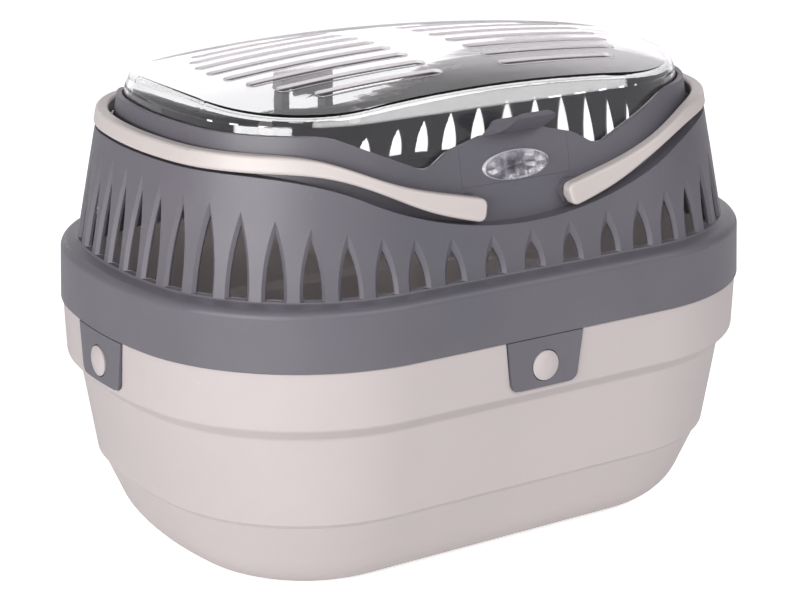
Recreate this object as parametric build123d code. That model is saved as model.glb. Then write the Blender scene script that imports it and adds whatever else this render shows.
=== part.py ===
from build123d import *
import math
import os

# Small animal carrier: a tub, a slotted top shell that clips on it, a clear lid and two bail handles.
# Millimetres, +Z up, the front towards -Y, the origin on the floor under the middle.

# Plan of the carrier at the foot of the skirt
body_length = 300.0
body_width = 210.0
corner_radius = 85.0
end_radius = 201.0
half_length = body_length / 2
half_width = body_width / 2

# Heights above the floor
joint_height = 105.0
skirt_top = joint_height + 24.5
wall_foot = skirt_top + 1.5
ledge_centre = wall_foot + 19.5
ledge_end = ledge_centre + 28.5
front_rim = ledge_end + 13.5
rear_rim = ledge_centre + 11.0
crown_height = front_rim + 18.0

# Walls
tub_wall = 2.2
shell_wall = 2.2
lid_wall = 2.0
floor_wall = 2.4
soft_edge = 0.6
wall_draft = 11.0

# Tub section, insets from the plan outline
band_inset = 0.9
band_foot_inset = 1.7
band_foot = joint_height - 24.0
band_roll = 2.2
body_roll = 3.0
body_top_inset = 7.2
body_top = joint_height - 29.5
step_height = 36.5
step_inset = 13.2
step_depth = 2.0
foot_inset = 30.0
foot_radius = 26.0
floor_join = 49.0
lip_height = 11.0
lip_gap = 0.35

# Skirt and shoulder of the top shell
skirt_lean = 0.9
shoulder_radius = 3.5
wall_foot_inset = 8.0
groove_depth = 7.0

# Sweep of the ledge and of the rear rim, seen from the front: middle radius and end radius
ledge_radii = (170.0, 105.0)
rear_rim_radii = (190.0, 50.0)

# Slots in the wall, with a flute that slopes into each
slot_width = 7.4
slot_foot = wall_foot + 1.0
slot_front_pitches = [19.4, 19.4, 17.1]
slot_pitch = 15.1
slot_front_top = ledge_centre - 8.2
slot_end_top = ledge_end - 12.0
slot_waist = 0.5
slot_waist_width = 0.8
slot_reach = 25.0
flute_margin = 1.7
flute_depth = 1.6
flute_reach = 6.3
flute_foot = 0.4
flute_overlap = 0.5

# Front rim: two dips beside the latch tongue
dip_x = 42.5
dip_height = front_rim - 18.2
dip_radius = 10.0
shoulder_x = 84.0
shoulder_round = 30.0
tongue_rim = front_rim - 7.7
tongue_rim_x = 15.5
tongue_knee_x = 31.0
tongue_knee_height = front_rim - 11.5
tongue_knee_radius = 10.0

# Latch tongue
tongue_half_width = 27.0
tongue_foot = front_rim - 26.9
tongue_gap = 0.1
lip_half_width = 10.4
lip_top = front_rim + 2.0
lip_reach = 17.0
lip_corner = 5.0
lip_neck = 3.0
lip_foot_angle = 74.0
lip_tip_angle = 48.0

# Badge on the tongue
badge_length = 33.0
badge_height = 12.2
badge_z = front_rim - 20.6
badge_recess = 0.8
badge_foil = 0.2
badge_proud = 1.6
badge_bevel = 1.2
badge_fit = 0.1

# Handles
pivot_x = 24.8
pivot_z = ledge_centre + 8.0
arm_end_half = 4.65
arm_end_reach = 4.0
arm_end_round = 3.0
arm_start_angle = 14.0
arm_half_height = 2.9
arm_bend_x = 59.5
arm_bend_z = ledge_centre + 18.8
arm_bend_angle = 22.0
arm_rise_x = 88.0
arm_rise_z = ledge_end + 1.7
arm_rise_angle = 17.0
bar_half_height = 3.45
bar_x = 112.0
bar_z = ledge_end + 4.4
arm_thickness = 5.6
arm_flush = -0.9
arm_edge = 1.3
peg_radius = 3.0
peg_clearance = 0.06
peg_head_radius = 3.9
peg_head_length = 2.0
peg_split = 1.2
boss_radius = 5.3
boss_root = 0.8
pad_margin = 0.5
pad_edge = 0.8
pad_root = 2.0
side_clearance = 0.3

# Lid
lid_gap = 0.7
lid_tuck = 1.2
lid_crown_along = 850.0
lid_crown_across = 340.0
lid_crown_rows = 7
lid_edge = 3.2
lid_shoulder = front_rim + 2.8
lid_shoulder_lean = 25.0
vent_width = 6.0
vent_pitch = 13.0
vent_count = 8
vent_forward = 4.0
vent_inner_x = 14.5
vent_end_inset = 55.0
vent_row_radius = 70.0

# Lid hinge
hinge_y = half_width - 18.0
hinge_z = ledge_end - 1.0
knuckle_radius = 4.0
knuckle_half_width = 9.4
knuckle_arm_height = 5.0
knuckle_plate = 2.0
knuckle_plate_height = 12.0
knuckle_seat_gap = 0.05
ear_thickness = 4.2
ear_root = 1.0
hinge_pin_radius = 1.25
pin_clearance = 0.05
bracket_half_width = 33.0
bracket_top = rear_rim + 4.1
bracket_knee = 10.0
bracket_corner = 4.0

# Clips and their studs
clip_top_width = 38.0
clip_foot_width = 32.0
clip_foot = joint_height - 21.7
clip_inset = 0.1
clip_thickness = 1.6
clip_corner = 4.0
clip_pocket_gap = 0.5
clip_hinge_gap = 0.3
stud_z = joint_height - 12.6
stud_radius = 6.3
stud_hole_gap = 0.45
stud_proud = 1.6
stud_crown = 0.35
stud_edge = 1.3
stud_crown_width = 0.6
stud_shank_radius = 3.0
stud_tail = 1.2
stud_tail_gap = 0.1
stud_barb = 0.8

far = body_length
headroom = 30.0
high = crown_height + headroom
well_below = 50.0
spare = 10.0
draft = math.tan(math.radians(wall_draft))
lip_inset = shell_wall + skirt_lean / 2 + lip_gap
pocket_inset = clip_inset + clip_thickness + clip_pocket_gap
clip_sides = {"front": -90, "right": 0, "rear": 90, "left": 180}


# Plan outline: straight sides, round corners and shallow arcs at the ends, all tangent
corner_y = half_width - corner_radius
end_x = half_length - end_radius
corner_x = end_x + math.sqrt((end_radius - corner_radius) ** 2 - corner_y**2)
end_angle = math.degrees(math.atan2(corner_y, corner_x - end_x))


def arc_stations():
    """Centre, radius, first angle and swept angle of each arc, anticlockwise from the right end."""
    turn = 90 - end_angle
    return [
        ((end_x, 0), end_radius, -end_angle, 2 * end_angle),
        ((corner_x, corner_y), corner_radius, end_angle, turn),
        ((-corner_x, corner_y), corner_radius, 90, turn),
        ((-end_x, 0), end_radius, 180 - end_angle, 2 * end_angle),
        ((-corner_x, -corner_y), corner_radius, 180 + end_angle, turn),
        ((corner_x, -corner_y), corner_radius, 270, turn),
    ]


def plan(inset, z):
    """The plan outline moved in by an inset, as a face at a height."""
    edges = []
    for centre, radius, start, turn in arc_stations():
        edges.append(CenterArc(centre, radius - inset, start, turn))
    side = half_width - inset
    edges.append(Line((corner_x, side), (-corner_x, side)))
    edges.append(Line((-corner_x, -side), (corner_x, -side)))
    return Pos(0, 0, z) * make_face(edges)


def rounded(points):
    """A closed outline from (x, z, rounding) corners."""
    places = [(x, z) for x, z, _ in points]
    return FilletPolyline(*places, radius=[rounding for _, _, rounding in points], close=True)


def section(points):
    """A section face from (inset, height, rounding) corners."""
    return Plane.XZ * make_face(rounded([(-inset, z, rounding) for inset, z, rounding in points]))


def around(profile):
    """Carry a section round the plan outline."""
    pieces = []
    for centre, radius, start, turn in arc_stations():
        placed = Pos(*centre) * Rot(0, 0, start) * Pos(radius, 0, 0) * profile
        pieces.append(revolve(placed, Axis((*centre, 0), (0, 0, 1)), turn))
    for sign in (1, -1):
        start = Pos(sign * corner_x, sign * corner_y) * Rot(0, 0, 90 * sign)
        placed = start * Pos(corner_radius, 0, 0) * profile
        pieces.append(extrude(placed, amount=2 * corner_x, dir=(-sign, 0, 0)))
    return pieces[0].fuse(*pieces[1:])


def upright_band(outer, inner, z_low, z_high):
    """An upright ring between two insets and two heights."""
    return around(section([(outer, z_low, 0), (outer, z_high, 0), (inner, z_high, 0), (inner, z_low, 0)]))


def wall_inset(z):
    """Inset of the slotted wall's outer face at a height."""
    return wall_foot_inset + draft * (z - wall_foot)


def side_y(depth, z):
    """Distance from the middle plane to a surface that lies a depth inside the wall, on a straight side."""
    return half_width - wall_inset(z) - depth


def wall_band(outer, inner, z_low, z_high):
    """A ring that follows the leaning wall, between two depths inside its outer face."""
    corners = [
        (wall_inset(z_low) + outer, z_low, 0),
        (wall_inset(z_high) + outer, z_high, 0),
        (wall_inset(z_high) + inner, z_high, 0),
        (wall_inset(z_low) + inner, z_low, 0),
    ]
    return around(section(corners))


def leaning_solid(inset, z, slope):
    """The solid inside walls that pass an inset at a height and lean in by a slope."""
    low = plan(inset + slope * (ledge_centre - z), ledge_centre)
    top = plan(inset + slope * (high - z), high)
    return loft([low, top], ruled=True)


def across(edges, y_from, y_to):
    """A front view outline as a prism between two depths."""
    face = Pos(0, y_from, 0) * (Plane.XZ * make_face(edges))
    return extrude(face, amount=y_to - y_from, dir=(0, 1, 0))


def closed_below(top_edges):
    """Close a line that runs across the front view, well below it."""
    first = top_edges[0] @ 0
    last = top_edges[-1] @ 1
    return [
        *top_edges,
        Polyline((last.X, last.Y), (last.X, well_below), (first.X, well_below), (first.X, first.Y)),
    ]


def sweep_line(centre, end, radii, shift=0.0):
    """An S-curve seen from the front, low in the middle and level at both ends."""
    radius, end_turn = radii
    angle = math.acos(1 - (end - centre) / (radius + end_turn))
    level_x = (radius + end_turn) * math.sin(angle)
    turn_x = radius * math.sin(angle)
    turn_z = centre + radius * (1 - math.cos(angle)) + shift
    mid_x = level_x - end_turn * math.sin(angle / 2)
    mid_z = end - end_turn * (1 - math.cos(angle / 2)) + shift
    return [
        Line((-far, end + shift), (-level_x, end + shift)),
        ThreePointArc((-level_x, end + shift), (-mid_x, mid_z), (-turn_x, turn_z)),
        ThreePointArc((-turn_x, turn_z), (0, centre + shift), (turn_x, turn_z)),
        ThreePointArc((turn_x, turn_z), (mid_x, mid_z), (level_x, end + shift)),
        Line((level_x, end + shift), (far, end + shift)),
    ]


def ledge_line(shift=0.0):
    """The S-curve of the ledge."""
    return sweep_line(ledge_centre, ledge_end, ledge_radii, shift)


def front_line(shift=0.0):
    """The front rim from end to end, with its dips and the rise to the tongue."""
    half = [
        (tongue_rim_x, tongue_rim, 0),
        (tongue_knee_x, tongue_knee_height, tongue_knee_radius),
        (dip_x, dip_height, dip_radius),
        (shoulder_x, front_rim, shoulder_round),
        (far, front_rim, 0),
    ]
    points = [(-x, z + shift) for x, z, _ in reversed(half)] + [(x, z + shift) for x, z, _ in half]
    radii = [rounding for _, _, rounding in reversed(half)] + [rounding for _, _, rounding in half]
    return FilletPolyline(*points, radius=radii[1:-1]).edges()


def below_front_rim(shift=0.0):
    """Everything in the front half below the front rim."""
    return across(closed_below(front_line(shift)), -far, 0)


def below_rear_rim(shift=0.0):
    """Everything in the rear half below the rear rim and its raised bracket."""
    rim = across(closed_below(sweep_line(rear_rim, front_rim, rear_rim_radii, shift)), 0, far)
    foot_x = bracket_half_width + bracket_knee
    top = bracket_top + shift
    corners = [
        (-foot_x, ledge_centre, 0),
        (-bracket_half_width, top, bracket_corner),
        (bracket_half_width, top, bracket_corner),
        (foot_x, ledge_centre, 0),
    ]
    return rim + across(rounded(corners).edges(), 0, far)


def cylinder_y(radius, x, z, y_from, y_to):
    """A round bar along Y."""
    return Pos(x, (y_from + y_to) / 2, z) * Rot(90, 0, 0) * Cylinder(radius, abs(y_to - y_from))


def cylinder_x(radius, y, z, x_from, x_to):
    """A round bar along X."""
    return Pos((x_from + x_to) / 2, y, z) * Rot(0, 90, 0) * Cylinder(radius, abs(x_to - x_from))


# Base tub
def clip_outline(margin):
    """A clip's outline in its own flat view, with an even margin round it."""
    top = clip_top_width / 2 + margin
    foot = clip_foot_width / 2 + margin
    low = clip_foot - margin
    rounding = clip_corner + margin
    corners = [(-foot, low, rounding), (foot, low, rounding), (top, joint_height, 0), (-top, joint_height, 0)]
    return make_face(rounded(corners))


def clip_side_prism(margin, side):
    """A clip's outline as a prism that runs out through one side of the carrier."""
    turned = Rot(0, 0, clip_sides[side] + 90) * (Plane.XZ * clip_outline(margin))
    angle = math.radians(clip_sides[side])
    return extrude(turned, amount=far, dir=(math.cos(angle), math.sin(angle), 0))


def out_from(side, z, shape):
    """Turn a shape built along +X to face out of one side, on the plan outline at a height."""
    distance = half_width if side in ("front", "rear") else half_length
    return Rot(0, 0, clip_sides[side]) * Pos(distance, 0, z) * shape


def make_base_tub():
    """The greige tub: floor, stepped body, rolled band and the lip that enters the skirt."""
    lip_top_z = joint_height + lip_height
    step_foot_inset = step_inset + step_depth
    corners = [
        (lip_inset, lip_top_z, soft_edge),
        (lip_inset, joint_height, soft_edge / 2),
        (band_inset, joint_height, soft_edge),
        (band_foot_inset, band_foot, band_roll),
        (body_top_inset, body_top, body_roll),
        (step_inset, step_height, soft_edge),
        (step_foot_inset, step_height - step_depth, soft_edge),
        (foot_inset, 0, foot_radius),
        (floor_join, 0, 0),
        (floor_join, floor_wall, 0),
        (foot_inset + tub_wall, floor_wall, foot_radius - floor_wall),
        (step_foot_inset + tub_wall, step_height, tub_wall),
        (body_top_inset + tub_wall, body_top, tub_wall),
        (lip_inset + tub_wall, body_top + tub_wall, tub_wall / 2),
        (lip_inset + tub_wall, lip_top_z, soft_edge),
    ]
    tub = around(section(corners)) + extrude(plan(floor_join, 0), amount=floor_wall)
    pocket = upright_band(-spare, pocket_inset, clip_foot - spare, joint_height + spare)
    for side in clip_sides:
        tub -= pocket & clip_side_prism(clip_pocket_gap, side)
        hole = Rot(0, 90, 0) * Cylinder(stud_shank_radius, 3 * spare)
        tub -= out_from(side, stud_z, hole)
    return tub


# Top shell
def quarter_length():
    """Length along the wall's foot from the middle of the front to the middle of the end."""
    corner = (corner_radius - wall_foot_inset) * math.radians(90 - end_angle)
    return corner_x + corner + (end_radius - wall_foot_inset) * math.radians(end_angle)


def slot_places():
    """Distances along the wall's foot, from the middle of the front to the middle of the end."""
    places = [0.0]
    for pitch in slot_front_pitches:
        places.append(places[-1] + pitch)
    rest = quarter_length() - places[-1]
    for _ in range(int(rest / slot_pitch) - 1):
        places.append(places[-1] + slot_pitch)
    last = (quarter_length() - places[-1]) / 2
    return [*places, places[-1] + last, places[-1] + 2 * last]


def on_wall(distance):
    """Point and outward angle on the wall's foot at a distance from the middle of the front."""
    if distance <= corner_x:
        return distance, wall_foot_inset - half_width, -90.0
    radius = corner_radius - wall_foot_inset
    corner_turn = math.radians(90 - end_angle)
    turn = (distance - corner_x) / radius
    if turn <= corner_turn:
        angle = turn - math.pi / 2
        x = corner_x + radius * math.cos(angle)
        y = -corner_y + radius * math.sin(angle)
        return x, y, math.degrees(angle)
    rest = distance - corner_x - radius * corner_turn
    radius = end_radius - wall_foot_inset
    angle = rest / radius - math.radians(end_angle)
    return end_x + radius * math.cos(angle), radius * math.sin(angle), math.degrees(angle)


def slot_face(half, foot, top):
    """A slot's outline: a flat foot and two bowed sides that meet in a point."""
    waist_z = foot + (top - foot) * slot_waist
    waist = half * slot_waist_width
    outline = [
        Line((-half, foot), (half, foot)),
        ThreePointArc((half, foot), (waist, waist_z), (0, top)),
        ThreePointArc((0, top), (-waist, waist_z), (-half, foot)),
    ]
    return Plane.XZ * make_face(outline)


def slot_cutter(top):
    """The slot itself, cut level through the wall."""
    return extrude(slot_face(slot_width / 2, slot_foot, top), amount=slot_reach, both=True)


def flute_cutter(top):
    """The flute round a slot, which widens outwards from inside the wall and leans with it."""
    lean = math.radians(wall_draft)
    height = (top - slot_foot) / math.cos(lean)
    layers = []
    for growth in (-flute_overlap, 1 + flute_overlap):
        half = slot_width / 2 + flute_margin * growth
        layer = slot_face(half, -flute_foot * growth, height + flute_reach * growth)
        layers.append(Pos(0, flute_depth * (1 - growth), 0) * layer)
    return Pos(0, 0, slot_foot) * Rot(-wall_draft, 0, 0) * loft(layers, ruled=True)


def round_wall(make_cutter):
    """A cutter at every slot place round the wall."""
    cutters = []
    places = slot_places()
    for number, distance in enumerate(places):
        x, y, angle = on_wall(distance)
        share = (1 - math.cos(math.pi * distance / places[-1])) / 2
        top = slot_front_top + (slot_end_top - slot_front_top) * share
        cutter = Pos(x, y, 0) * Rot(0, 0, angle + 90) * make_cutter(top)
        quarter = [cutter]
        if number < len(places) - 1:
            quarter.append(mirror(cutter, Plane.XZ))
        if number > 0:
            quarter += [mirror(shape, Plane.YZ) for shape in quarter]
        cutters += quarter
    return cutters


def make_top_shell():
    """The grey shell: skirt, shoulder, slotted wall, ledge, collar and rim."""
    corners = [
        (0, joint_height, soft_edge / 2),
        (skirt_lean, skirt_top, shoulder_radius),
        (wall_foot_inset, wall_foot, 2 * soft_edge),
        (wall_inset(high), high, 0),
        (wall_inset(high) + shell_wall, high, 0),
        (wall_foot_inset + shell_wall, wall_foot - shell_wall, soft_edge),
        (skirt_lean + shell_wall, skirt_top - shell_wall, 2 * soft_edge),
        (shell_wall, joint_height, soft_edge / 2),
    ]
    below_ledge = across(closed_below(ledge_line()), -far, far)
    wall = around(section(corners)) & below_ledge
    wall = wall.cut(*round_wall(slot_cutter))
    wall = wall.cut(*round_wall(flute_cutter))

    depth = groove_depth + shell_wall
    under = across(closed_below(ledge_line(-shell_wall)), -far, far)
    ledge = (wall_band(0, depth, ledge_centre - spare, ledge_end + spare) & below_ledge) - under
    collar = wall_band(groove_depth, depth, ledge_centre - spare, front_rim + spare) - under
    collar = collar & (below_front_rim() + below_rear_rim())
    tongue_room = Box(2 * tongue_half_width, body_width, high - tongue_foot)
    collar -= Pos(0, -half_width, (tongue_foot + high) / 2) * tongue_room
    shell = wall + ledge + collar

    face = side_y(arm_thickness + arm_flush, pivot_z) - side_clearance
    root = side_y(depth, pivot_z) + boss_root
    for x in (-pivot_x, pivot_x):
        for side in (-1, 1):
            shell += cylinder_y(boss_radius, x, pivot_z, side * root, side * face)
            bore = peg_radius + peg_clearance
            shell -= cylinder_y(bore, x, pivot_z, side * (root - spare), side * (face + spare))
    ear_x = knuckle_half_width + side_clearance + ear_thickness / 2
    shell += Pos(-ear_x, 0, 0) * hinge_ear()
    shell += Pos(ear_x, 0, 0) * hinge_ear()
    return shell - cylinder_x(hinge_pin_radius, hinge_y, hinge_z, -2 * ear_x, 2 * ear_x)


def hinge_ear():
    """One upright of the hinge bracket, centred on x = 0."""
    foot_y = side_y(groove_depth + shell_wall / 2, ledge_centre)
    foot_z = ledge_centre - ear_root
    back = hinge_y + knuckle_radius
    front = hinge_y - knuckle_radius
    outline = [(foot_y, foot_z), (back, foot_z), (back, hinge_z), (front, hinge_z)]
    plate = extrude(Plane.YZ * make_face(Polyline(*outline, close=True)), amount=ear_thickness / 2, both=True)
    return plate + cylinder_x(knuckle_radius, hinge_y, hinge_z, -ear_thickness / 2, ear_thickness / 2)


# Latch tongue and badge
def make_latch_tongue():
    """The springy front tongue with its curled finger lip and the seat of the badge."""
    plate = wall_band(groove_depth, groove_depth + shell_wall, tongue_foot - spare, front_rim + spare)
    reach = tongue_half_width - tongue_gap
    low = tongue_foot + tongue_gap
    room = Pos(0, -half_width, (low + tongue_rim) / 2) * Box(2 * reach, body_width, tongue_rim - low)
    tongue = (plate & room & below_front_rim()) + finger_lip()
    seat = Pos(0, 0, -badge_recess) * extrude(badge_face(badge_fit), amount=spare)
    return tongue - badge_plane() * seat


def finger_lip():
    """The scooped lip that reaches forward from the top of the tongue."""
    foot_turn = math.radians(lip_foot_angle)
    turn = math.radians(lip_tip_angle)
    root = (-side_y(groove_depth, tongue_rim), tongue_rim)
    back_root = (root[0] + shell_wall, tongue_rim)
    tip = (root[0] - lip_reach, lip_top)
    back_tip = (tip[0] + shell_wall * math.cos(turn), tip[1] + shell_wall * math.sin(turn))
    forward = (-math.sin(foot_turn), math.cos(foot_turn))
    out = (-math.sin(turn), math.cos(turn))
    curl = make_face(
        [
            Spline(root, tip, tangents=[forward, out]),
            Line(tip, back_tip),
            Spline(back_tip, back_root, tangents=[(-out[0], -out[1]), (0, -1)]),
            Line(back_root, root),
        ]
    )
    lip_root = lip_half_width + lip_neck
    strip = extrude(Plane.YZ * curl, amount=lip_root, both=True)
    right = [
        (lip_root, tongue_rim, 0),
        (lip_half_width, tongue_rim + lip_neck, lip_neck),
        (lip_half_width, back_tip[1], lip_corner),
    ]
    left = [(-x, z, rounding) for x, z, rounding in reversed(right)]
    return strip & across(rounded(right + left).edges(), -half_width, 0)


def badge_plane():
    """The leaning front face of the tongue at the middle of the badge."""
    lean = math.radians(wall_draft)
    middle = (0, -side_y(groove_depth, badge_z), badge_z)
    return Plane(origin=middle, x_dir=(1, 0, 0), z_dir=(0, -math.cos(lean), math.sin(lean)))


def badge_face(margin):
    """The oval of the badge with a margin."""
    return make_face(Ellipse(badge_length / 2 + margin, badge_height / 2 + margin).edges())


def make_badge_foil():
    """The bright foil behind the badge's lens."""
    return badge_plane() * Pos(0, 0, -badge_recess) * extrude(badge_face(0), amount=badge_foil)


def make_badge_lens():
    """The clear oval lens with its bevelled edge."""
    lens = extrude(badge_face(0), amount=badge_recess + badge_proud - badge_foil)
    lens = chamfer(lens.faces().sort_by(Axis.Z)[-1].edges(), badge_bevel)
    return badge_plane() * Pos(0, 0, badge_foil - badge_recess) * lens


# Handles
def arm_outline():
    """A handle seen from the front: the arm from its squarish end up to the level crossbar."""
    start_angle = math.radians(arm_start_angle)
    stations = [
        (pivot_x, pivot_z, arm_end_half, start_angle),
        (arm_bend_x, arm_bend_z, arm_half_height, math.radians(arm_bend_angle)),
        (arm_rise_x, arm_rise_z, arm_half_height, math.radians(arm_rise_angle)),
        (bar_x, bar_z, bar_half_height, 0.0),
    ]
    top = [(x - half * math.sin(turn), z + half * math.cos(turn)) for x, z, half, turn in stations]
    foot = [(x + half * math.sin(turn), z - half * math.cos(turn)) for x, z, half, turn in stations]
    along = (math.cos(start_angle), math.sin(start_angle))
    back = (-along[0], -along[1])

    def beside_pivot(reach, rise):
        """A point a reach behind the pivot and a rise above the arm's centre line."""
        return (
            pivot_x - reach * along[0] - rise * along[1],
            pivot_z - reach * along[1] + rise * along[0],
        )

    inner = arm_end_reach - arm_end_round
    shoulder = arm_end_half - arm_end_round
    slope = arm_end_round * math.sqrt(0.5)
    return [
        Spline(*top, tangents=[along, (1, 0)]),
        Polyline(top[-1], (far, top[-1][1]), (far, foot[-1][1]), foot[-1]),
        Spline(*reversed(foot), tangents=[(-1, 0), back]),
        Line(foot[0], beside_pivot(inner, -arm_end_half)),
        ThreePointArc(
            beside_pivot(inner, -arm_end_half),
            beside_pivot(inner + slope, -shoulder - slope),
            beside_pivot(arm_end_reach, -shoulder),
        ),
        Line(beside_pivot(arm_end_reach, -shoulder), beside_pivot(arm_end_reach, shoulder)),
        ThreePointArc(
            beside_pivot(arm_end_reach, shoulder),
            beside_pivot(inner + slope, shoulder + slope),
            beside_pivot(inner, arm_end_half),
        ),
        Line(beside_pivot(inner, arm_end_half), top[0]),
    ]


def make_handle(sign):
    """One bail: two arms, the crossbar round the end of the carrier and its two split pegs."""
    band = wall_band(arm_flush, arm_flush + arm_thickness, ledge_centre - spare, front_rim + spare)
    bail = band & across(arm_outline(), -far, far)
    rims = [edge for edge in bail.edges() if edge.length > 3 * arm_thickness or abs((edge % 0.5).Y) < 0.5]
    bail = fillet(rims, arm_edge)
    pad = side_y(arm_thickness + arm_flush, pivot_z)
    head = side_y(groove_depth + shell_wall, pivot_z + boss_radius) - side_clearance
    tip = head - peg_head_length
    for side in (-1, 1):
        bail -= cylinder_y(boss_radius + pad_margin, pivot_x, pivot_z, side * (pad - spare), side * pad)
        bail += cylinder_y(arm_end_half - pad_edge, pivot_x, pivot_z, side * pad, side * (pad + pad_root))
        peg = cylinder_y(peg_radius, pivot_x, pivot_z, side * tip, side * (pad + pad_root))
        peg += cylinder_y(peg_head_radius, pivot_x, pivot_z, side * tip, side * head)
        split = Box(4 * peg_head_radius, 2 * (pad - head), peg_split)
        bail += peg - Pos(pivot_x, side * tip, pivot_z) * split
    return bail if sign > 0 else mirror(bail, Plane.YZ)


# Lid
def crown_solid(crown):
    """Everything under a crowned surface that falls away from its middle both ways."""
    rows = []
    for row in range(lid_crown_rows):
        x = half_length * (2 * row / (lid_crown_rows - 1) - 1)
        points = []
        for column in range(lid_crown_rows):
            y = half_width * (2 * column / (lid_crown_rows - 1) - 1)
            fall = x**2 / (2 * lid_crown_along) + y**2 / (2 * lid_crown_across)
            points.append((x, y, crown - fall))
        rows.append(points)
    crowned = Face.make_surface_from_array_of_points(rows)
    return extrude(crowned, amount=crown - well_below, dir=(0, 0, -1))


def lid_form(depth, crown, edge):
    """The lid's outer or inner form: leaning walls, a sloped shoulder and the crown, its crest rounded."""
    wall = leaning_solid(wall_foot_inset + depth, wall_foot, draft)
    slope = math.tan(math.radians(lid_shoulder_lean))
    shoulder = leaning_solid(wall_inset(lid_shoulder) + depth, lid_shoulder, slope)
    form = wall & shoulder & crown_solid(crown)
    above = lid_shoulder + soft_edge
    crest = [line for line in form.edges() if min((line @ 0).Z, (line @ 0.5).Z, (line @ 1).Z) > above]
    return fillet(crest, edge)


def vent_outer_x(y):
    """Where a vent ends, so that the outer ends stand on an arc."""
    sagitta = vent_row_radius - math.sqrt(vent_row_radius**2 - y**2)
    return half_length - vent_end_inset - sagitta


def vents():
    """Both groups of long vents as upright prisms through the lid's top."""
    prisms = []
    for number in range(vent_count):
        y = (number - (vent_count - 1) / 2) * vent_pitch - vent_forward
        length = vent_outer_x(y) - vent_inner_x
        place = Pos(vent_inner_x + length / 2, y, front_rim)
        prism = extrude(place * SlotOverall(length, vent_width), amount=high - front_rim)
        prisms.append(prism)
        prisms.append(mirror(prism, Plane.YZ))
    return prisms


def make_lid():
    """The clear lid: leaning walls down to the rim and a crowned top with vents."""
    depth = groove_depth + shell_wall + lid_gap
    outer = lid_form(depth, crown_height, lid_edge)
    inner = lid_form(depth + lid_wall, crown_height - lid_wall, lid_edge - lid_wall / 2)
    lid = outer - inner - below_front_rim(-lid_tuck) - below_rear_rim(-lid_tuck)
    return lid.cut(*vents())


def make_lid_knuckle():
    """The hinge knuckle with its arm and the plate that is bonded to the lid's rear wall."""
    seat = groove_depth + shell_wall + lid_gap - knuckle_seat_gap
    low = hinge_z - knuckle_plate_height / 2
    high_edge = hinge_z + knuckle_plate_height / 2
    room = Pos(0, half_width / 2, hinge_z) * Box(2 * knuckle_half_width, half_width, knuckle_plate_height)
    plate = wall_band(seat - knuckle_plate, seat, low - spare, high_edge + spare) & room
    arm_y = side_y(seat - knuckle_plate / 2, hinge_z)
    arm = Box(2 * knuckle_half_width, hinge_y - arm_y, knuckle_arm_height)
    knuckle = plate + Pos(0, (arm_y + hinge_y) / 2, hinge_z) * arm
    knuckle += cylinder_x(knuckle_radius, hinge_y, hinge_z, -knuckle_half_width, knuckle_half_width)
    reach = knuckle_half_width + spare
    return knuckle - cylinder_x(hinge_pin_radius + pin_clearance, hinge_y, hinge_z, -reach, reach)


def make_hinge_pin():
    """The steel pin of the lid's hinge."""
    reach = knuckle_half_width + side_clearance + ear_thickness
    return cylinder_x(hinge_pin_radius, hinge_y, hinge_z, -reach, reach)


# Clips and studs
def make_clip(side):
    """One side clip with its round hole, shaped to the side that it hangs on."""
    top = joint_height - clip_hinge_gap
    sheet = upright_band(clip_inset, clip_inset + clip_thickness, clip_foot - spare, top)
    hole = Rot(0, 90, 0) * Cylinder(stud_radius + stud_hole_gap, 2 * spare)
    return (sheet & clip_side_prism(0, side)) - out_from(side, stud_z, hole)


def make_stud(side):
    """One domed snap stud with its shank through the tub's band."""
    barb = -(lip_inset + tub_wall + stud_tail_gap)
    tail = barb - stud_tail
    edge = stud_proud - stud_edge
    shoulder = (stud_proud - stud_crown, stud_radius * stud_crown_width)
    outline = [
        Line((tail, 0), (stud_proud, 0)),
        ThreePointArc((stud_proud, 0), shoulder, (edge, stud_radius)),
        Polyline(
            (edge, stud_radius),
            (-pocket_inset, stud_radius),
            (-pocket_inset, stud_shank_radius),
            (barb, stud_shank_radius),
            (barb, stud_shank_radius + stud_barb),
            (tail, stud_shank_radius),
            (tail, 0),
        ),
    ]
    return out_from(side, stud_z, revolve(make_face(outline), Axis.X, 360))


# Assembly
def make_parts():
    """Every piece of the carrier under its node name."""
    parts = {
        "base_tub": make_base_tub(),
        "top_shell": make_top_shell(),
        "latch_tongue": make_latch_tongue(),
        "badge_foil": make_badge_foil(),
        "badge_lens": make_badge_lens(),
        "lid": make_lid(),
        "lid_knuckle": make_lid_knuckle(),
        "lid_hinge_pin": make_hinge_pin(),
        "right_handle": make_handle(1),
        "left_handle": make_handle(-1),
    }
    for side in clip_sides:
        parts[f"{side}_clip"] = make_clip(side)
        parts[f"{side}_stud"] = make_stud(side)
    return parts


os.makedirs("parts", exist_ok=True)
for name, shape in make_parts().items():
    export_step(shape, f"parts/{name}.step")
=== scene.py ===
import math

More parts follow.
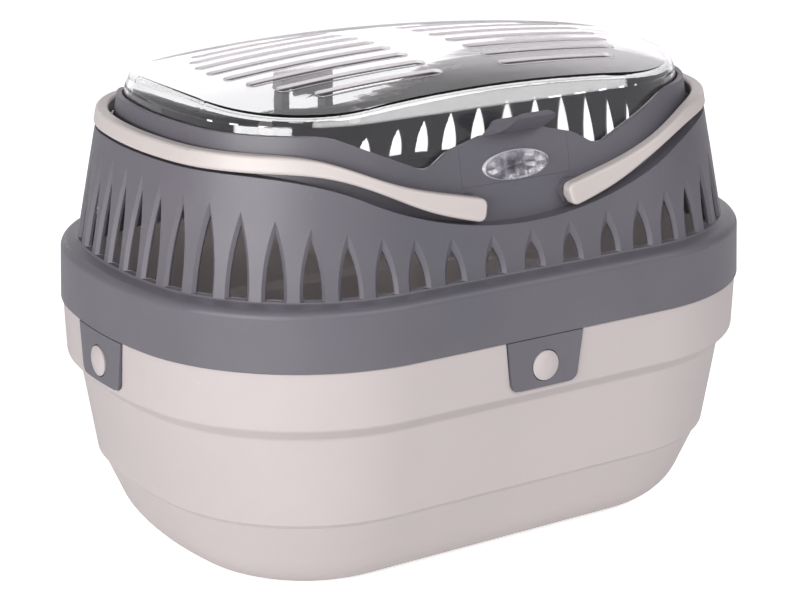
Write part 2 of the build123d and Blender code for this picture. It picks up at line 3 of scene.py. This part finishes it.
import bpy
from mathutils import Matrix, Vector


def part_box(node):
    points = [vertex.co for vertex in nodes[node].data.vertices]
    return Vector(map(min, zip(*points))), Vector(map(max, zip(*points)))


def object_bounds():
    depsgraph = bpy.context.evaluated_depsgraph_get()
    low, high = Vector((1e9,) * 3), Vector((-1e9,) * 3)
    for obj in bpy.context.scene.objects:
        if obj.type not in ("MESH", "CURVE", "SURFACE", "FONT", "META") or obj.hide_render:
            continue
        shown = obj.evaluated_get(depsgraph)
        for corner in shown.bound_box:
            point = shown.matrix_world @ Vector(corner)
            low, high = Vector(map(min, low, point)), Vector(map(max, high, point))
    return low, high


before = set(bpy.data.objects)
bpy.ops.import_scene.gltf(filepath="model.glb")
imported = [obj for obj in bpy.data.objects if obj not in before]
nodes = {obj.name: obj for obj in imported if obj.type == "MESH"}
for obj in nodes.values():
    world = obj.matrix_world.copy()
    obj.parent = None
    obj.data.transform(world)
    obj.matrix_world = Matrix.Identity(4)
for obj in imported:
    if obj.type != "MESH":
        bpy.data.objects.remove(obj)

cad_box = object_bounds()

# The lid's crown and wall, and the height above which only the vents have upright faces, in metres
CROWN_RADIUS_X = 0.85
CROWN_RADIUS_Y = 0.34
LID_WALL = 0.0022
VENT_FLOOR = 0.197
# An upright face's normal rises by less than this
UPRIGHT_RISE = 0.05

# The foil's rings from its middle to its rim, the facets at its centre, and how many more each ring has
FOIL_RINGS = 3.2
FOIL_CENTRE_FACETS = 7
FOIL_MORE_FACETS = 5
# How far the facets' numbers move on from one ring to the next
FOIL_RING_STEP = 17.0
# Each facet leans by a random share of the span, from the start on
FACET_LEAN_SPAN = (0.6, 0.2, 0.7)
FACET_LEAN_START = (-0.35, -0.1, -0.05)

# The lens's rim is painted with a bright highlight where the square of the distance, one at its rim, is
# more than this
PAINTED_HIGHLIGHT_START = 0.9

# How far moulded plastic's roughness drops and rises round its mean
ROUGH_DROP = 0.05
ROUGH_RISE = 0.07

# Heights of the relief on a surface, in metres
GRAIN_HEIGHT = 0.0002
SWELL_HEIGHT = 0.002

# Streaks are drawn out along the axis that is scaled down
SCUFF_SCALE = (1.0, 0.12, 1.0)
SCUFF_TURN = (0.4, 0.3, 0.5)
SCRATCH_SCALE = (0.05, 1.0, 1.0)
DRAWN_SCALE = (0.02, 1.0, 1.0)

# The camera, as fitted to the photo, in radians, metres and pixels
AZIMUTH = math.radians(33.19)
ELEVATION = math.radians(16.41)
DISTANCE = 0.98965
TARGET = Vector((0, 0, 0.110))
PHOTO_WIDTH = 800
PHOTO_HEIGHT = 600
FOCAL_LENGTH = 2235.18
OPTICAL_CENTRE_X = 404.71
OPTICAL_CENTRE_Y = 262.76
# The sensor's width in millimetres
SENSOR_WIDTH = 36.0

# Fewer bounces than this are none
HALF_BOUNCE = 0.5

# Half the floor's side in metres, and its own glow where it is seen directly and elsewhere
FLOOR_REACH = 6.0
FLOOR_GLOW_SEEN = 0.62
FLOOR_GLOW = 0.12

# The bright band of the surroundings: its direction, how much of a ray lies along it at the band's edge
# and where the band is at full strength, and that strength
BAND_DIRECTION = (0.5, 0.866, 0)
BAND_EDGE = 0.62
BAND_FULL = 0.9
BAND_STRENGTH = 1.3
# The rise of a ray at which the band starts to fade, where it has faded, and the share that is left there
BAND_FADE_START = 0.34
BAND_FADE_END = 0.52
BAND_LEFT = 0.1
# The rest of the surroundings is dimmer at the high rise than at the low one
REST_LOW_RISE = 0.1
REST_HIGH_RISE = 0.8
REST_LOW_STRENGTH = 0.24
REST_HIGH_STRENGTH = 0.16
# What the surroundings add to that for every ray but a glossy one
FILL_STRENGTH = 0.16
SURROUND_COLOR = (1.0, 0.955, 0.995)


# Nodes
def fill(tree, node, entries):
    """Set a node's inputs to constants, or join them to (node, output) pairs."""
    for entry, value in entries.items():
        if isinstance(value, tuple) and isinstance(value[0], bpy.types.Node):
            source, output = value
            tree.links.new(source.outputs[output], node.inputs[entry])
        else:
            node.inputs[entry].default_value = value


def add(tree, kind, entries, **settings):
    """A new node with its settings made and its inputs filled."""
    node = tree.nodes.new(kind)
    for name, value in settings.items():
        setattr(node, name, value)
    fill(tree, node, entries)
    return node


def math_node(tree, operation, *entries):
    """The result of a sum on numbers and (node, output) pairs."""
    return add(tree, "ShaderNodeMath", dict(enumerate(entries)), operation=operation), "Value"


def vector_math(tree, operation, entries, output="Vector"):
    """The result of a sum on vectors, whose entries go by the input's number or name."""
    return add(tree, "ShaderNodeVectorMath", entries, operation=operation), output


def coordinates(tree, output="Object"):
    """A texture coordinate, by default the place in the frame that all pieces share at rest."""
    return tree.nodes.new("ShaderNodeTexCoord"), output


def axes(tree, vector):
    """The X, Y and Z of a vector."""
    node = add(tree, "ShaderNodeSeparateXYZ", {"Vector": vector})
    return (node, "X"), (node, "Y"), (node, "Z")


def stretched(tree, place, scale, turn=(0, 0, 0)):
    """A place that is turned, and drawn out along the axis that is scaled down."""
    return add(tree, "ShaderNodeMapping", {"Vector": place, "Rotation": turn, "Scale": scale}), "Vector"


def noise(tree, place, **entries):
    """Noise between zero and one at a place."""
    return add(tree, "ShaderNodeTexNoise", {"Vector": place, **entries}), "Fac"


def ramp(tree, value, low_stop, high_stop):
    """The colour at a value, between two stops that are each a position and a colour."""
    node = add(tree, "ShaderNodeValToRGB", {"Fac": value})
    for stop, (position, color) in zip(node.color_ramp.elements, (low_stop, high_stop)):
        stop.position = position
        stop.color = (*color, 1)
    return node, "Color"


def spread(tree, value, to_low, to_high, low=0.0, high=1.0, interpolation="LINEAR"):
    """A value between low and high, carried over to the range between to_low and to_high."""
    entries = {"Value": value, "From Min": low, "From Max": high, "To Min": to_low, "To Max": to_high}
    return add(tree, "ShaderNodeMapRange", entries, interpolation_type=interpolation), "Result"


def bump(tree, height, strength, distance, under=None):
    """The normal of a relief, laid over another normal where one is given."""
    entries = {"Height": height, "Strength": strength, "Distance": distance}
    if under:
        entries["Normal"] = under
    return add(tree, "ShaderNodeBump", entries), "Normal"


def blend(tree, share, first, second):
    """A shader that turns from the first to the second as the share goes from zero to one."""
    return add(tree, "ShaderNodeMixShader", {"Fac": share, 1: first, 2: second}), "Shader"


def seen_directly(tree):
    """One for the camera's rays, also through clear plastic, and zero for light that falls on things."""
    path = tree.nodes.new("ShaderNodeLightPath")
    unscattered = math_node(tree, "LESS_THAN", (path, "Diffuse Depth"), HALF_BOUNCE)
    through = math_node(tree, "MULTIPLY", (path, "Is Transmission Ray"), unscattered)
    return math_node(tree, "MAXIMUM", (path, "Is Camera Ray"), through)


# Materials
def new_material(name):
    """A material with its node tree and its main shader."""
    material = bpy.data.materials.new(name)
    material.use_nodes = True
    tree = material.node_tree
    return material, tree, tree.nodes["Principled BSDF"]


def plastic(name, dark, light, worn, rough, grain, flow):
    """Moulded plastic: flow mottling, fine grain, soft gloss changes and faint lighter scuffs."""
    material, tree, shader = new_material(name)
    place = coordinates(tree)

    mottle = noise(tree, place, Scale=flow, Detail=5.0, Roughness=0.55)
    tint = ramp(tree, mottle, (0.32, dark), (0.7, light))
    slanted = stretched(tree, place, SCUFF_SCALE, SCUFF_TURN)
    scuff = noise(tree, slanted, Scale=420.0, Detail=3.0, Roughness=0.6)
    streak = ramp(tree, scuff, (0.68, (0, 0, 0)), (0.82, (0.4, 0.4, 0.4)))
    scuffed = add(tree, "ShaderNodeMix", {"Factor": streak, "A": tint, "B": (*worn, 1)}, data_type="RGBA")

    gloss = noise(tree, place, Scale=38.0, Detail=4.0)
    roughness = spread(tree, gloss, to_low=rough - ROUGH_DROP, to_high=rough + ROUGH_RISE)

    speckle = noise(tree, place, Scale=2600.0, Detail=2.0)
    fine = bump(tree, speckle, strength=grain, distance=GRAIN_HEIGHT)
    wave = noise(tree, place, Scale=14.0, Detail=2.0)
    swell = bump(tree, wave, strength=0.12, distance=SWELL_HEIGHT, under=fine)
    fill(tree, shader, {"Base Color": (scuffed, "Result"), "Roughness": roughness, "Normal": swell})
    return material


def height_in_wall(tree, place):
    """How high a point lies in the crown's thickness: zero at its underside and one on its top."""
    x, y, z = axes(tree, place)
    x_squared = math_node(tree, "MULTIPLY", x, x)
    y_squared = math_node(tree, "MULTIPLY", y, y)
    level_along = math_node(tree, "MULTIPLY_ADD", x_squared, 0.5 / CROWN_RADIUS_X, z)
    level = math_node(tree, "MULTIPLY_ADD", y_squared, 0.5 / CROWN_RADIUS_Y, level_along)
    raised = math_node(tree, "SUBTRACT", level, cad_box[1][2] - LID_WALL)
    return math_node(tree, "DIVIDE", raised, LID_WALL)


def vent_walls(tree, place):
    """One on the walls of the vents and zero on the rest of the lid."""
    height = axes(tree, place)[2]
    geometry = tree.nodes.new("ShaderNodeNewGeometry")
    rise = axes(tree, (geometry, "True Normal"))[2]
    upright = math_node(tree, "LESS_THAN", math_node(tree, "ABSOLUTE", rise), UPRIGHT_RISE)
    high = math_node(tree, "GREATER_THAN", height, VENT_FLOOR)
    return math_node(tree, "MULTIPLY", upright, high)


def clear_plastic():
    """Clear plastic with flow waves, smudges and hairline scratches, and rough, half-clear pale walls in
    its vents with a painted shade at their foot.
    """
    material, tree, shader = new_material("lid_clear")
    place = coordinates(tree)

    haze = noise(tree, place, Scale=9.0, Detail=4.0)
    tint = ramp(tree, haze, (0.3, (0.955, 0.96, 0.965)), (0.75, (0.985, 0.985, 0.99)))
    smudge = noise(tree, place, Scale=22.0, Detail=6.0, Roughness=0.6)
    roughness = spread(tree, smudge, to_low=0.015, to_high=0.09, low=0.45, high=0.8)
    scratch = noise(tree, stretched(tree, place, SCRATCH_SCALE), Scale=420.0, Detail=2.0)
    hair = bump(tree, scratch, strength=0.03, distance=GRAIN_HEIGHT)
    wave = noise(tree, place, Scale=16.0, Detail=1.0)
    swell = bump(tree, wave, strength=0.1, distance=SWELL_HEIGHT, under=hair)
    fill(tree, shader, {"Base Color": tint, "Roughness": roughness, "Normal": swell})
    fill(tree, shader, {"IOR": 1.49, "Transmission Weight": 1.0})

    # The vent walls' colour is a painted shade, near black, at their foot, and a pale frosted colour
    # above it
    painted_light_edge = ramp(tree, height_in_wall(tree, place), (0.3, (0.10, 0.09, 0.10)), (0.5, (0.95, 0.91, 0.94)))
    entries = {"Base Color": painted_light_edge, "Normal": swell, "Roughness": 0.45, "Transmission Weight": 0.3}
    frosted_and_shaded = add(tree, "ShaderNodeBsdfPrincipled", entries)
    surface = blend(tree, vent_walls(tree, place), (shader, "BSDF"), (frosted_and_shaded, "BSDF"))
    fill(tree, tree.nodes["Material Output"], {"Surface": surface})
    return material


def oval_place(tree, place, low, high):
    """How far a point is across and up from the middle of an oval's box, and the square of its distance.

    Across is one at the oval's right end, up is one at its top, and the square is one all round its rim.
    """
    x, _, z = axes(tree, place)
    across = math_node(tree, "MULTIPLY", x, 2 / (high[0] - low[0]))
    raised = math_node(tree, "SUBTRACT", z, (low[2] + high[2]) / 2)
    upward = math_node(tree, "MULTIPLY", raised, 2 / (high[2] - low[2]))
    across_squared = math_node(tree, "MULTIPLY", across, across)
    return across, upward, math_node(tree, "MULTIPLY_ADD", upward, upward, across_squared)


def lens_plastic():
    """The badge's clear lens, with a very faint haze and a bright colour painted round its rim as a
    highlight.
    """
    material, tree, shader = new_material("lens_clear")
    place = coordinates(tree)
    haze = noise(tree, place, Scale=160.0, Detail=4.0)
    tint = ramp(tree, haze, (0.3, (0.92, 0.92, 0.95)), (0.75, (0.99, 0.99, 1.0)))
    roughness = spread(tree, haze, to_low=0.01, to_high=0.06)
    fill(tree, shader, {"Base Color": tint, "Roughness": roughness})
    fill(tree, shader, {"IOR": 1.52, "Transmission Weight": 1.0})

    # A bright, rough colour painted round the lens's rim as its highlight
    entries = {"Base Color": (0.82, 0.79, 0.84, 1), "Roughness": 0.22, "Transmission Weight": 0.5}
    painted_bevel_highlight = add(tree, "ShaderNodeBsdfPrincipled", entries)
    low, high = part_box("badge_lens")
    distance_squared = oval_place(tree, place, low, high)[2]
    painted_light_edge = math_node(tree, "GREATER_THAN", distance_squared, PAINTED_HIGHLIGHT_START)
    surface = blend(tree, painted_light_edge, (shader, "BSDF"), (painted_bevel_highlight, "BSDF"))
    fill(tree, tree.nodes["Material Output"], {"Surface": surface})
    return material


def foil_metal():
    """Bright foil pressed into rings of flat facets round the badge's oval, like a cut stone, with
    painted light and shade: each facet is painted a random lighter or darker tone, and the whole is
    painted darker in its middle and brighter towards its rim.
    """
    material, tree, shader = new_material("badge_foil_bright")
    low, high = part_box("badge_foil")
    across, upward, distance_squared = oval_place(tree, coordinates(tree), low, high)
    distance = math_node(tree, "SQRT", distance_squared)
    ring = math_node(tree, "FLOOR", math_node(tree, "MULTIPLY", distance, FOIL_RINGS))
    count = math_node(tree, "MULTIPLY_ADD", ring, FOIL_MORE_FACETS, FOIL_CENTRE_FACETS)
    turn = math_node(tree, "ARCTAN2", upward, across)
    share = math_node(tree, "MULTIPLY", turn, 0.5 / math.pi)
    facet = math_node(tree, "FLOOR", math_node(tree, "MULTIPLY", share, count))
    number = math_node(tree, "MULTIPLY_ADD", ring, FOIL_RING_STEP, facet)
    chance = add(tree, "ShaderNodeTexWhiteNoise", {"W": number}, noise_dimensions="1D")

    # Painted light and shade: each facet gets a lighter or darker tone, and the foil is painted darker in
    # the middle and brighter towards its rim as a highlight
    tint = ramp(tree, (chance, "Value"), (0.0, (0.42, 0.38, 0.45)), (0.5, (1.0, 0.97, 1.0)))
    rim = ramp(tree, distance, (0.25, (0.5, 0.48, 0.52)), (0.75, (1.0, 1.0, 1.0)))
    entries = {"Factor": 1.0, "A": tint, "B": rim}
    painted_facet_light = add(tree, "ShaderNodeMix", entries, data_type="RGBA", blend_type="MULTIPLY")

    entries = {0: (chance, "Color"), 1: FACET_LEAN_SPAN, 2: FACET_LEAN_START}
    lean = vector_math(tree, "MULTIPLY_ADD", entries)
    geometry = tree.nodes.new("ShaderNodeNewGeometry")
    leaning = vector_math(tree, "ADD", {0: lean, 1: (geometry, "Normal")})
    normal = vector_math(tree, "NORMALIZE", {0: leaning})
    fill(tree, shader, {"Base Color": (painted_facet_light, "Result"), "Normal": normal})
    fill(tree, shader, {"Metallic": 0.55, "Roughness": 0.24})
    return material


def steel_metal():
    """Drawn steel with fine lines along the pin."""
    material, tree, shader = new_material("pin_steel")
    drawn = stretched(tree, coordinates(tree), DRAWN_SCALE)
    lines = noise(tree, drawn, Scale=2400.0, Detail=3.0)
    tint = ramp(tree, lines, (0.3, (0.42, 0.42, 0.43)), (0.7, (0.62, 0.62, 0.63)))
    roughness = spread(tree, lines, to_low=0.22, to_high=0.4)
    groove = bump(tree, lines, strength=0.2, distance=GRAIN_HEIGHT)
    fill(tree, shader, {"Base Color": tint, "Roughness": roughness, "Normal": groove, "Metallic": 1.0})
    return material


def paint(material, *names):
    """Give CAD nodes their material."""
    for name in names:
        for slot in nodes[name].material_slots:
            slot.material = material


tub_plastic = plastic(
    "tub_greige",
    dark=(0.432, 0.388, 0.386),
    light=(0.472, 0.424, 0.421),
    worn=(0.60, 0.56, 0.555),
    rough=0.48,
    grain=0.25,
    flow=7.0,
)
handle_plastic = plastic(
    "handle_greige",
    dark=(0.472, 0.432, 0.418),
    light=(0.516, 0.472, 0.454),
    worn=(0.60, 0.565, 0.55),
    rough=0.38,
    grain=0.12,
    flow=11.0,
)
# The shell's random flow mottling runs from a blue-grey to a lighter violet, and that violet tint is a
# painted sheen
shell_plastic = plastic(
    "shell_grey",
    dark=(0.094, 0.091, 0.108),
    light=(0.127, 0.117, 0.136),
    worn=(0.19, 0.18, 0.20),
    rough=0.42,
    grain=0.3,
    flow=8.0,
)

paint(tub_plastic, "base_tub", "front_stud", "right_stud", "rear_stud", "left_stud")
paint(handle_plastic, "left_handle", "right_handle")
paint(shell_plastic, "top_shell", "latch_tongue", "lid_knuckle")
paint(shell_plastic, "front_clip", "right_clip", "rear_clip", "left_clip")
paint(clear_plastic(), "lid")
paint(lens_plastic(), "badge_lens")
paint(foil_metal(), "badge_foil")
paint(steel_metal(), "lid_hinge_pin")


# Camera
def make_camera():
    """The photo's camera, which looks at the target without roll."""
    level = math.cos(ELEVATION)
    back = Vector((-math.sin(AZIMUTH) * level, -math.cos(AZIMUTH) * level, math.sin(ELEVATION)))
    data = bpy.data.cameras.new("camera")
    data.sensor_width = SENSOR_WIDTH
    data.lens = FOCAL_LENGTH / PHOTO_WIDTH * SENSOR_WIDTH
    data.shift_x = (PHOTO_WIDTH / 2 - OPTICAL_CENTRE_X) / PHOTO_WIDTH
    data.shift_y = (OPTICAL_CENTRE_Y - PHOTO_HEIGHT / 2) / PHOTO_WIDTH
    camera = bpy.data.objects.new("camera", data)
    camera.location = TARGET + back * DISTANCE
    camera.rotation_mode = "QUATERNION"
    camera.rotation_quaternion = (-back).to_track_quat("-Z", "Y")
    bpy.context.scene.collection.objects.link(camera)
    bpy.context.scene.camera = camera
    bpy.context.scene.view_settings.view_transform = "Standard"


make_camera()


# Floor
def make_floor():
    """A wide flat pale floor, with more glow of its own where it is seen directly."""
    reach = FLOOR_REACH
    corners = [(-reach, -reach, 0), (reach, -reach, 0), (reach, reach, 0), (-reach, reach, 0)]
    mesh = bpy.data.meshes.new("floor")
    mesh.from_pydata(corners, [], [(0, 1, 2, 3)])
    floor = bpy.data.objects.new("floor", mesh)
    bpy.context.scene.collection.objects.link(floor)

    material, tree, shader = new_material("floor_pale")
    paper = noise(tree, coordinates(tree), Scale=3.0, Detail=4.0)
    tint = ramp(tree, paper, (0.3, (0.90, 0.90, 0.90)), (0.7, (0.93, 0.93, 0.93)))
    fill(tree, shader, {"Base Color": tint, "Roughness": 0.9})
    bright = add(tree, "ShaderNodeEmission", {"Strength": FLOOR_GLOW_SEEN})
    dim = add(tree, "ShaderNodeEmission", {"Strength": FLOOR_GLOW})
    glow = blend(tree, seen_directly(tree), (dim, "Emission"), (bright, "Emission"))
    total = add(tree, "ShaderNodeAddShader", {0: (shader, "BSDF"), 1: glow})
    fill(tree, tree.nodes["Material Output"], {"Surface": (total, "Shader")})
    mesh.materials.append(material)


make_floor()


# Light
def area_light(name, place, aim, size, power):
    """A soft rectangular lamp."""
    data = bpy.data.lights.new(name, "AREA")
    data.shape = "RECTANGLE"
    data.size, data.size_y = size
    data.energy = power
    lamp = bpy.data.objects.new(name, data)
    lamp.location = place
    lamp.rotation_mode = "QUATERNION"
    lamp.rotation_quaternion = (Vector(aim) - Vector(place)).to_track_quat("-Z", "Y")
    bpy.context.scene.collection.objects.link(lamp)


area_light("key", place=(-1.70, -0.80, 0.50), aim=(0, 0, 0.18), size=(1.7, 0.5), power=31.0)
area_light("front", place=(0.32, -1.56, 1.30), aim=(0, 0, 0.19), size=(2.36, 0.40), power=20.0)


def make_world():
    """Studio surroundings: a bright band low behind, dim elsewhere, and white where seen directly."""
    world = bpy.data.worlds.new("studio")
    world.use_nodes = True
    tree = world.node_tree
    ray = coordinates(tree, "Generated")
    rise = axes(tree, ray)[2]

    facing = vector_math(tree, "DOT_PRODUCT", {0: ray, 1: BAND_DIRECTION}, output="Value")
    behind = spread(tree, facing, 0.0, BAND_STRENGTH, BAND_EDGE, BAND_FULL, "SMOOTHSTEP")
    fade = spread(tree, rise, 1.0, BAND_LEFT, BAND_FADE_START, BAND_FADE_END, "SMOOTHSTEP")
    band = math_node(tree, "MULTIPLY", behind, fade)

    rest = spread(tree, rise, REST_LOW_STRENGTH, REST_HIGH_STRENGTH, REST_LOW_RISE, REST_HIGH_RISE)
    path = tree.nodes.new("ShaderNodeLightPath")
    dull = math_node(tree, "SUBTRACT", 1.0, (path, "Is Glossy Ray"))
    filled = math_node(tree, "MULTIPLY_ADD", dull, FILL_STRENGTH, rest)
    total = math_node(tree, "ADD", band, filled)

    surround = tree.nodes["Background"]
    color = vector_math(tree, "SCALE", {0: SURROUND_COLOR, "Scale": total})
    fill(tree, surround, {"Color": color, "Strength": 1.0})
    backdrop = add(tree, "ShaderNodeBackground", {"Color": (1, 1, 1, 1)})
    surface = blend(tree, seen_directly(tree), (surround, "Background"), (backdrop, "Background"))
    fill(tree, tree.nodes["World Output"], {"Surface": surface})
    bpy.context.scene.world = world


make_world()
